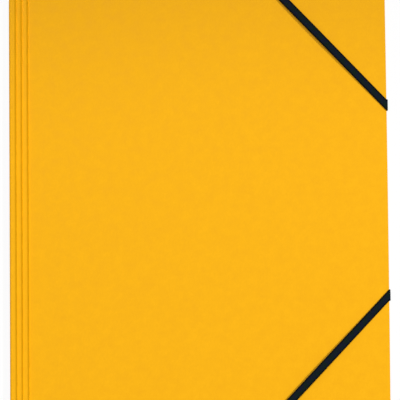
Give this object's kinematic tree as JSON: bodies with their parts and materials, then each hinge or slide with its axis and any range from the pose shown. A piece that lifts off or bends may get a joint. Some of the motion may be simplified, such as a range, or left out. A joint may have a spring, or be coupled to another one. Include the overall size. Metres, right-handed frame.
{
  "type": "elastic folder",
  "caption": "Closed A4 document folder of folded pressboard with inner flaps, spine creases and flat elastics over the two free corners, lying flat on its back.",
  "frame": {"origin": "under the middle of the closed folder, on the surface it lies on", "axes": "+Z out of the front cover, +Y from the foot to the head, +X from the spine to the fore edge"},
  "size_m": [0.2408, 0.3216, 0.0055],
  "materials": {
    "card": "smooth calendered pressboard, dyed yellow",
    "elastic": "black flat woven elastic",
    "tag": "nickel-plated crimped strip"
  },
  "bodies": {
    "root": {"folded_card_sheet": "card", "head_corner_elastic": "elastic", "foot_corner_elastic": "elastic", "head_elastic_end_tag": "tag", "head_elastic_fore_tag": "tag", "foot_elastic_end_tag": "tag", "foot_elastic_fore_tag": "tag"}
  },
  "joints": []
}
